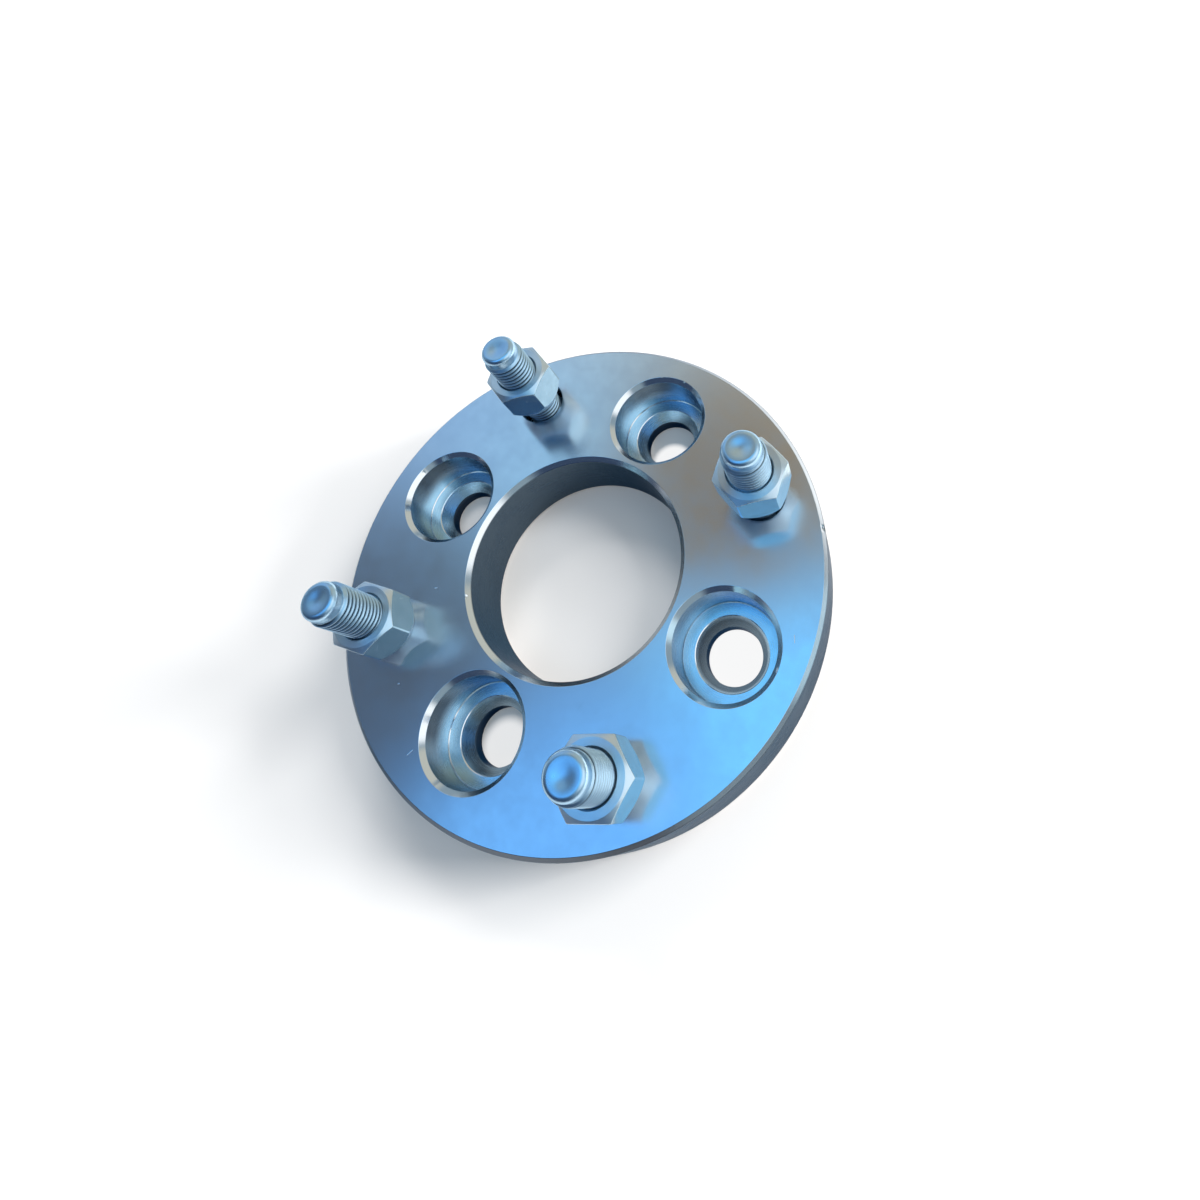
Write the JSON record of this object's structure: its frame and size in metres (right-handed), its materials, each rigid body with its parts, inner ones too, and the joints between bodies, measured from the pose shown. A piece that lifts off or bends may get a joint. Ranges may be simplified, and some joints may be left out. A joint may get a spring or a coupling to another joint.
{
  "type": "bolt-on wheel spacer",
  "caption": "Thick aluminium disc with a centre bore, sunk stepped holes for the hub's studs, and its own pressed-in wheel studs carrying open-ended conical nuts.",
  "frame": {"origin": "centre of the bore on the hub face, the flat back that lies on the hub", "axes": "+Z along the bore axis towards the wheel, the way the studs point; +X and +Y each pass through a stepped hub hole, and the wheel studs lie half-way between them"},
  "size_m": [0.145, 0.145, 0.0544],
  "materials": {
    "disc": "bare turned aluminium, satin with fine lathe rings",
    "stud": "zinc plated steel, rolled thread",
    "nut": "bright plated steel, turned and polished"
  },
  "bodies": {
    "root": {"spacer_body": "disc", "wheel_stud_1": "stud", "wheel_stud_2": "stud", "wheel_stud_3": "stud", "wheel_stud_4": "stud", "lug_nut_1": "nut", "lug_nut_2": "nut", "lug_nut_3": "nut", "lug_nut_4": "nut"}
  },
  "joints": []
}
